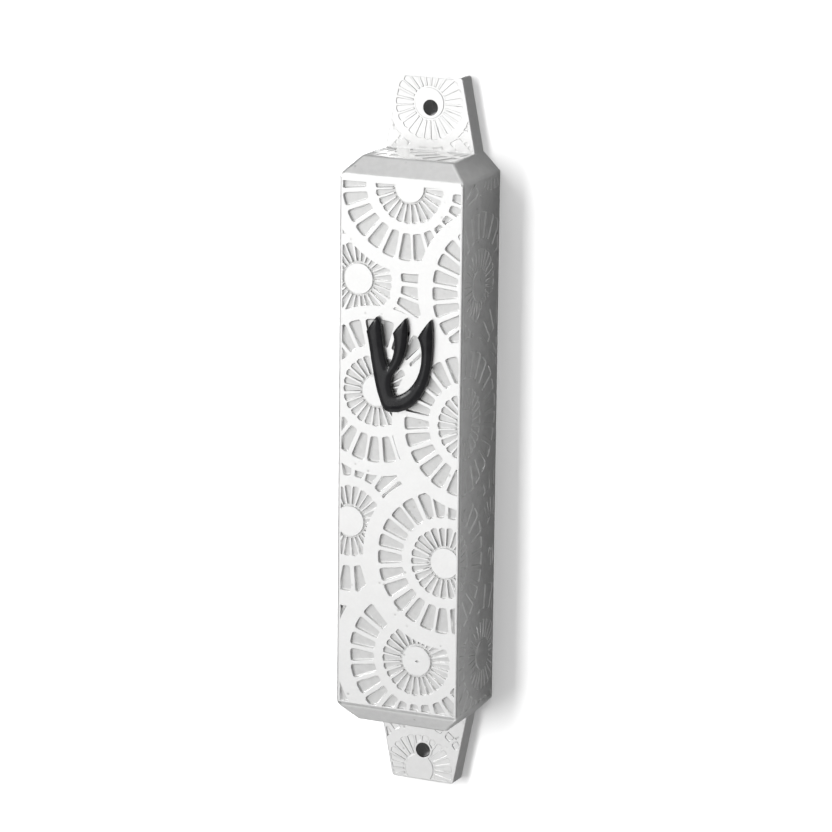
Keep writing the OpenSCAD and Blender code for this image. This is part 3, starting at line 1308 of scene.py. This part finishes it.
# %% Wall
wall_y = 0.00005
hole_shade_r = 0.0018
soft_edge = 0.0001
wall_bm = bmesh.new()
bmesh.ops.create_grid(wall_bm, x_segments=1, y_segments=1, size=2)
bmesh.ops.rotate(wall_bm, cent=(0, 0, 0), matrix=Matrix.Rotation(math.pi / 2, 3, "X"), verts=wall_bm.verts)
bmesh.ops.translate(wall_bm, vec=(0, wall_y, 0), verts=wall_bm.verts)
wall_mesh = bpy.data.meshes.new("wall")
wall_bm.to_mesh(wall_mesh)
wall_bm.free()
wall = bpy.data.objects.new("wall", wall_mesh)
bpy.context.scene.collection.objects.link(wall)

wall_paint = bpy.data.materials.new("wall_paint")
wall_paint.use_nodes = True
tree = wall_paint.node_tree
tree.nodes.remove(tree.nodes["Principled BSDF"])
paint = add_node(tree, "ShaderNodeBsdfDiffuse")
wall_place = add_node(tree, "ShaderNodeTexCoord").outputs["Object"]
from_middle = add_node(tree, "ShaderNodeVectorMath", operation="ABSOLUTE")
link(tree, wall_place, from_middle.inputs[0])
# Behind each screw hole the wall is painted a dark grey spot: painted shade at the bottom of the hole.
to_hole = add_node(tree, "ShaderNodeVectorMath", operation="DISTANCE")
link(tree, from_middle.outputs["Vector"], to_hole.inputs[0])
to_hole.inputs[1].default_value = (0, wall_y, hole_z * MM)
unshaded_plaster = ramp(tree, to_hole.outputs["Value"], hole_shade_r, hole_shade_r + soft_edge)
clear = add_node(tree, "ShaderNodeBsdfTransparent")
ray = add_node(tree, "ShaderNodeLightPath")
wall_colour = mix_colour(tree, unshaded_plaster, (0.3, 0.3, 0.3), (0.95, 0.95, 0.95))
wall_colour = mix_colour(tree, ray.outputs["Is Glossy Ray"], wall_colour, (0.24, 0.24, 0.24))
sideways = add_node(tree, "ShaderNodeSeparateXYZ")
link(tree, from_middle.outputs["Vector"], sideways.inputs[0])
beside_case = ramp(tree, sideways.outputs["X"], half_w * MM, half_w * MM + soft_edge)
mirrored = math_node(tree, "MULTIPLY", ray.outputs["Is Glossy Ray"], beside_case)
link(tree, wall_colour, paint.inputs["Color"])
facing = add_node(tree, "ShaderNodeNewGeometry")
seen = math_node(tree, "ADD", ray.outputs["Is Camera Ray"], mirrored, clamp=True)
in_front = math_node(tree, "SUBTRACT", seen, facing.outputs["Backfacing"], clamp=True)
choose = add_node(tree, "ShaderNodeMixShader")
link(tree, in_front, choose.inputs["Fac"])
link(tree, clear.outputs[0], choose.inputs[1])
link(tree, paint.outputs[0], choose.inputs[2])
link(tree, choose.outputs[0], tree.nodes["Material Output"].inputs["Surface"])
wall.data.materials.append(wall_paint)
print("wall paint:", len(tree.nodes), "nodes")

# %% [markdown]
# ## Light
#
# Satin metal shows its surroundings, so the lights that brighten it and the lights that it mirrors are kept
# apart. A tall, narrow key light left of the case and a little above lays the shadow on the wall to the
# right, and a large fill from the right and above softens it. Neither shows in a reflection. A large
# reflector at the left makes the front nearly white, and a small glint further left adds highlights. Both
# show only in reflections. Three weak lights reach the top, the underside and the back, and the rest of the
# room is an even grey.


# %% Soft lights
def soft_light(name, azimuth, elevation, distance, size, power):
    """A square area light at a distance in metres from the case's middle, aimed at it."""
    a, e = math.radians(azimuth), math.radians(elevation)
    towards = Vector((math.sin(a) * math.cos(e), -math.cos(a) * math.cos(e), math.sin(e)))
    data = bpy.data.lights.new(name, "AREA")
    data.shape = "SQUARE"
    data.size = size
    data.energy = power
    lamp = bpy.data.objects.new(name, data)
    facing_case = towards.to_track_quat("Z", "Y").to_matrix().to_4x4()
    lamp.matrix_world = Matrix.Translation(towards * distance) @ facing_case
    bpy.context.scene.collection.objects.link(lamp)
    return lamp


key = soft_light("key", -22, 6, 0.9, 0.24, 7.6)
key.data.shape = "RECTANGLE"
key.data.size_y = 0.75
key.visible_glossy = False
fill = soft_light("fill", 15, 25, 1.2, 1.2, 7.0)
fill.visible_glossy = False
reflector = soft_light("reflector", -24, 5, 0.8, 0.9, 2.7)
reflector.visible_diffuse = False
glint = soft_light("glint", -52, 18, 0.8, 0.2, 1.3)
glint.visible_diffuse = False
soft_light("top_light", 0, 72, 0.8, 0.8, 1.4)
soft_light("floor_light", 0, -78, 0.8, 0.8, 1.5)
soft_light("back_light", 215, 35, 0.9, 0.5, 2.0)

world = bpy.data.worlds.new("room")
world.use_nodes = True
bpy.context.scene.world = world
tree = world.node_tree
room = tree.nodes["Background"]
room.inputs["Color"].default_value = (1, 1, 1, 1)
ray = add_node(tree, "ShaderNodeLightPath")
link(tree, ramp(tree, ray.outputs["Is Camera Ray"], 0, 1, 0.2, 0.9), room.inputs["Strength"])
bpy.context.scene.view_settings.view_transform = "Standard"
print("lights:", sorted(data.name for data in bpy.data.lights))
